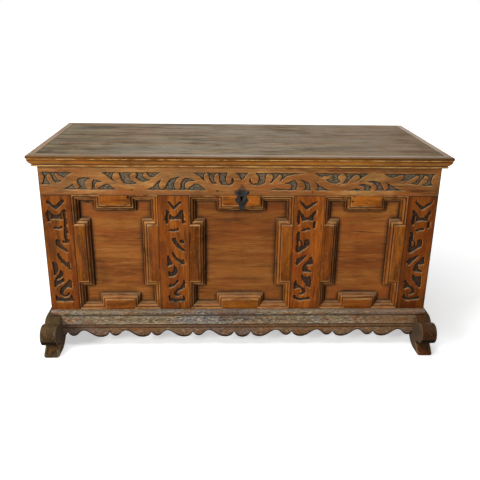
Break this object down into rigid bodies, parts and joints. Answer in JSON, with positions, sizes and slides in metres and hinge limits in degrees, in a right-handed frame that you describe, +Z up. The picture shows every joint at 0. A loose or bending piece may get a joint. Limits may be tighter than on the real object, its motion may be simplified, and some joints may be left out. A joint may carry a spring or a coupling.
{
  "type": "cassone",
  "caption": "Joined oak chest with a hinged lid, carved frieze and uprights, stepped panel mouldings, an iron lock and a scalloped base on sledge feet.",
  "frame": {"origin": "on the floor, under the middle of the box round the whole chest", "axes": "+X along the chest, +Y to its back, +Z up"},
  "size_m": [1.4, 0.705, 0.707],
  "materials": {
    "frame_oak": "waxed",
    "panel_oak": "waxed",
    "side_oak": "waxed",
    "lid_oak": "worn",
    "base_oak": "weathered",
    "foot_oak": "dark polish",
    "inner_oak": "bare",
    "iron": "forged black"
  },
  "bodies": {
    "case": {"front_top_rail": "frame_oak", "front_bottom_rail": "frame_oak", "front_left_stile": "frame_oak", "front_right_stile": "frame_oak", "front_left_muntin": "frame_oak", "front_right_muntin": "frame_oak", "front_left_panel": "panel_oak", "front_centre_panel": "panel_oak", "front_right_panel": "panel_oak", "left_panel_blocks": "frame_oak", "centre_panel_blocks": "frame_oak", "right_panel_blocks": "frame_oak", "left_panel_mouldings": "frame_oak", "centre_panel_mouldings": "frame_oak", "right_panel_mouldings": "frame_oak", "plinth_bead": "base_oak", "apron": "base_oak", "left_foot": "foot_oak", "right_foot": "foot_oak", "left_side_top_rail": "side_oak", "left_side_bottom_rail": "side_oak", "left_side_muntin": "side_oak", "left_side_panels": "side_oak", "right_side_top_rail": "side_oak", "right_side_bottom_rail": "side_oak", "right_side_muntin": "side_oak", "right_side_panels": "side_oak", "back_left_stile": "side_oak", "back_right_stile": "side_oak", "back_top_rail": "side_oak", "back_bottom_rail": "side_oak", "back_muntin": "side_oak", "back_panels": "side_oak", "frame_pegs": "side_oak", "floor_left_board": "inner_oak", "floor_middle_boards": "inner_oak", "floor_right_board": "inner_oak", "floor_cleats": "inner_oak", "left_case_leaf": "iron", "right_case_leaf": "iron", "left_hinge_pin": "iron", "right_hinge_pin": "iron", "lock_case": "iron", "bolt_guides": "iron", "escutcheon": "iron", "case_nails": "iron"},
    "lid": {"lid_front_board": "lid_oak", "lid_middle_board": "lid_oak", "lid_back_board": "lid_oak", "lid_front_moulding": "frame_oak", "lid_left_moulding": "frame_oak", "lid_right_moulding": "frame_oak", "lid_left_batten": "inner_oak", "lid_right_batten": "inner_oak", "left_lid_strap": "iron", "right_lid_strap": "iron", "lid_staple": "iron", "lid_nails": "iron"},
    "lock_bolt": {"lock_bolt": "iron"}
  },
  "joints": [
    {"name": "lid_hinge", "type": "hinge", "parent": "case", "child": "lid", "pos_m": [0, 0.34495, 0.67655], "axis": [-1, 0, 0], "range_deg": [0, 95]},
    {"name": "bolt_slide", "type": "slide", "parent": "case", "child": "lock_bolt", "axis": [1, 0, 0], "range_m": [0, 0.014]}
  ]
}
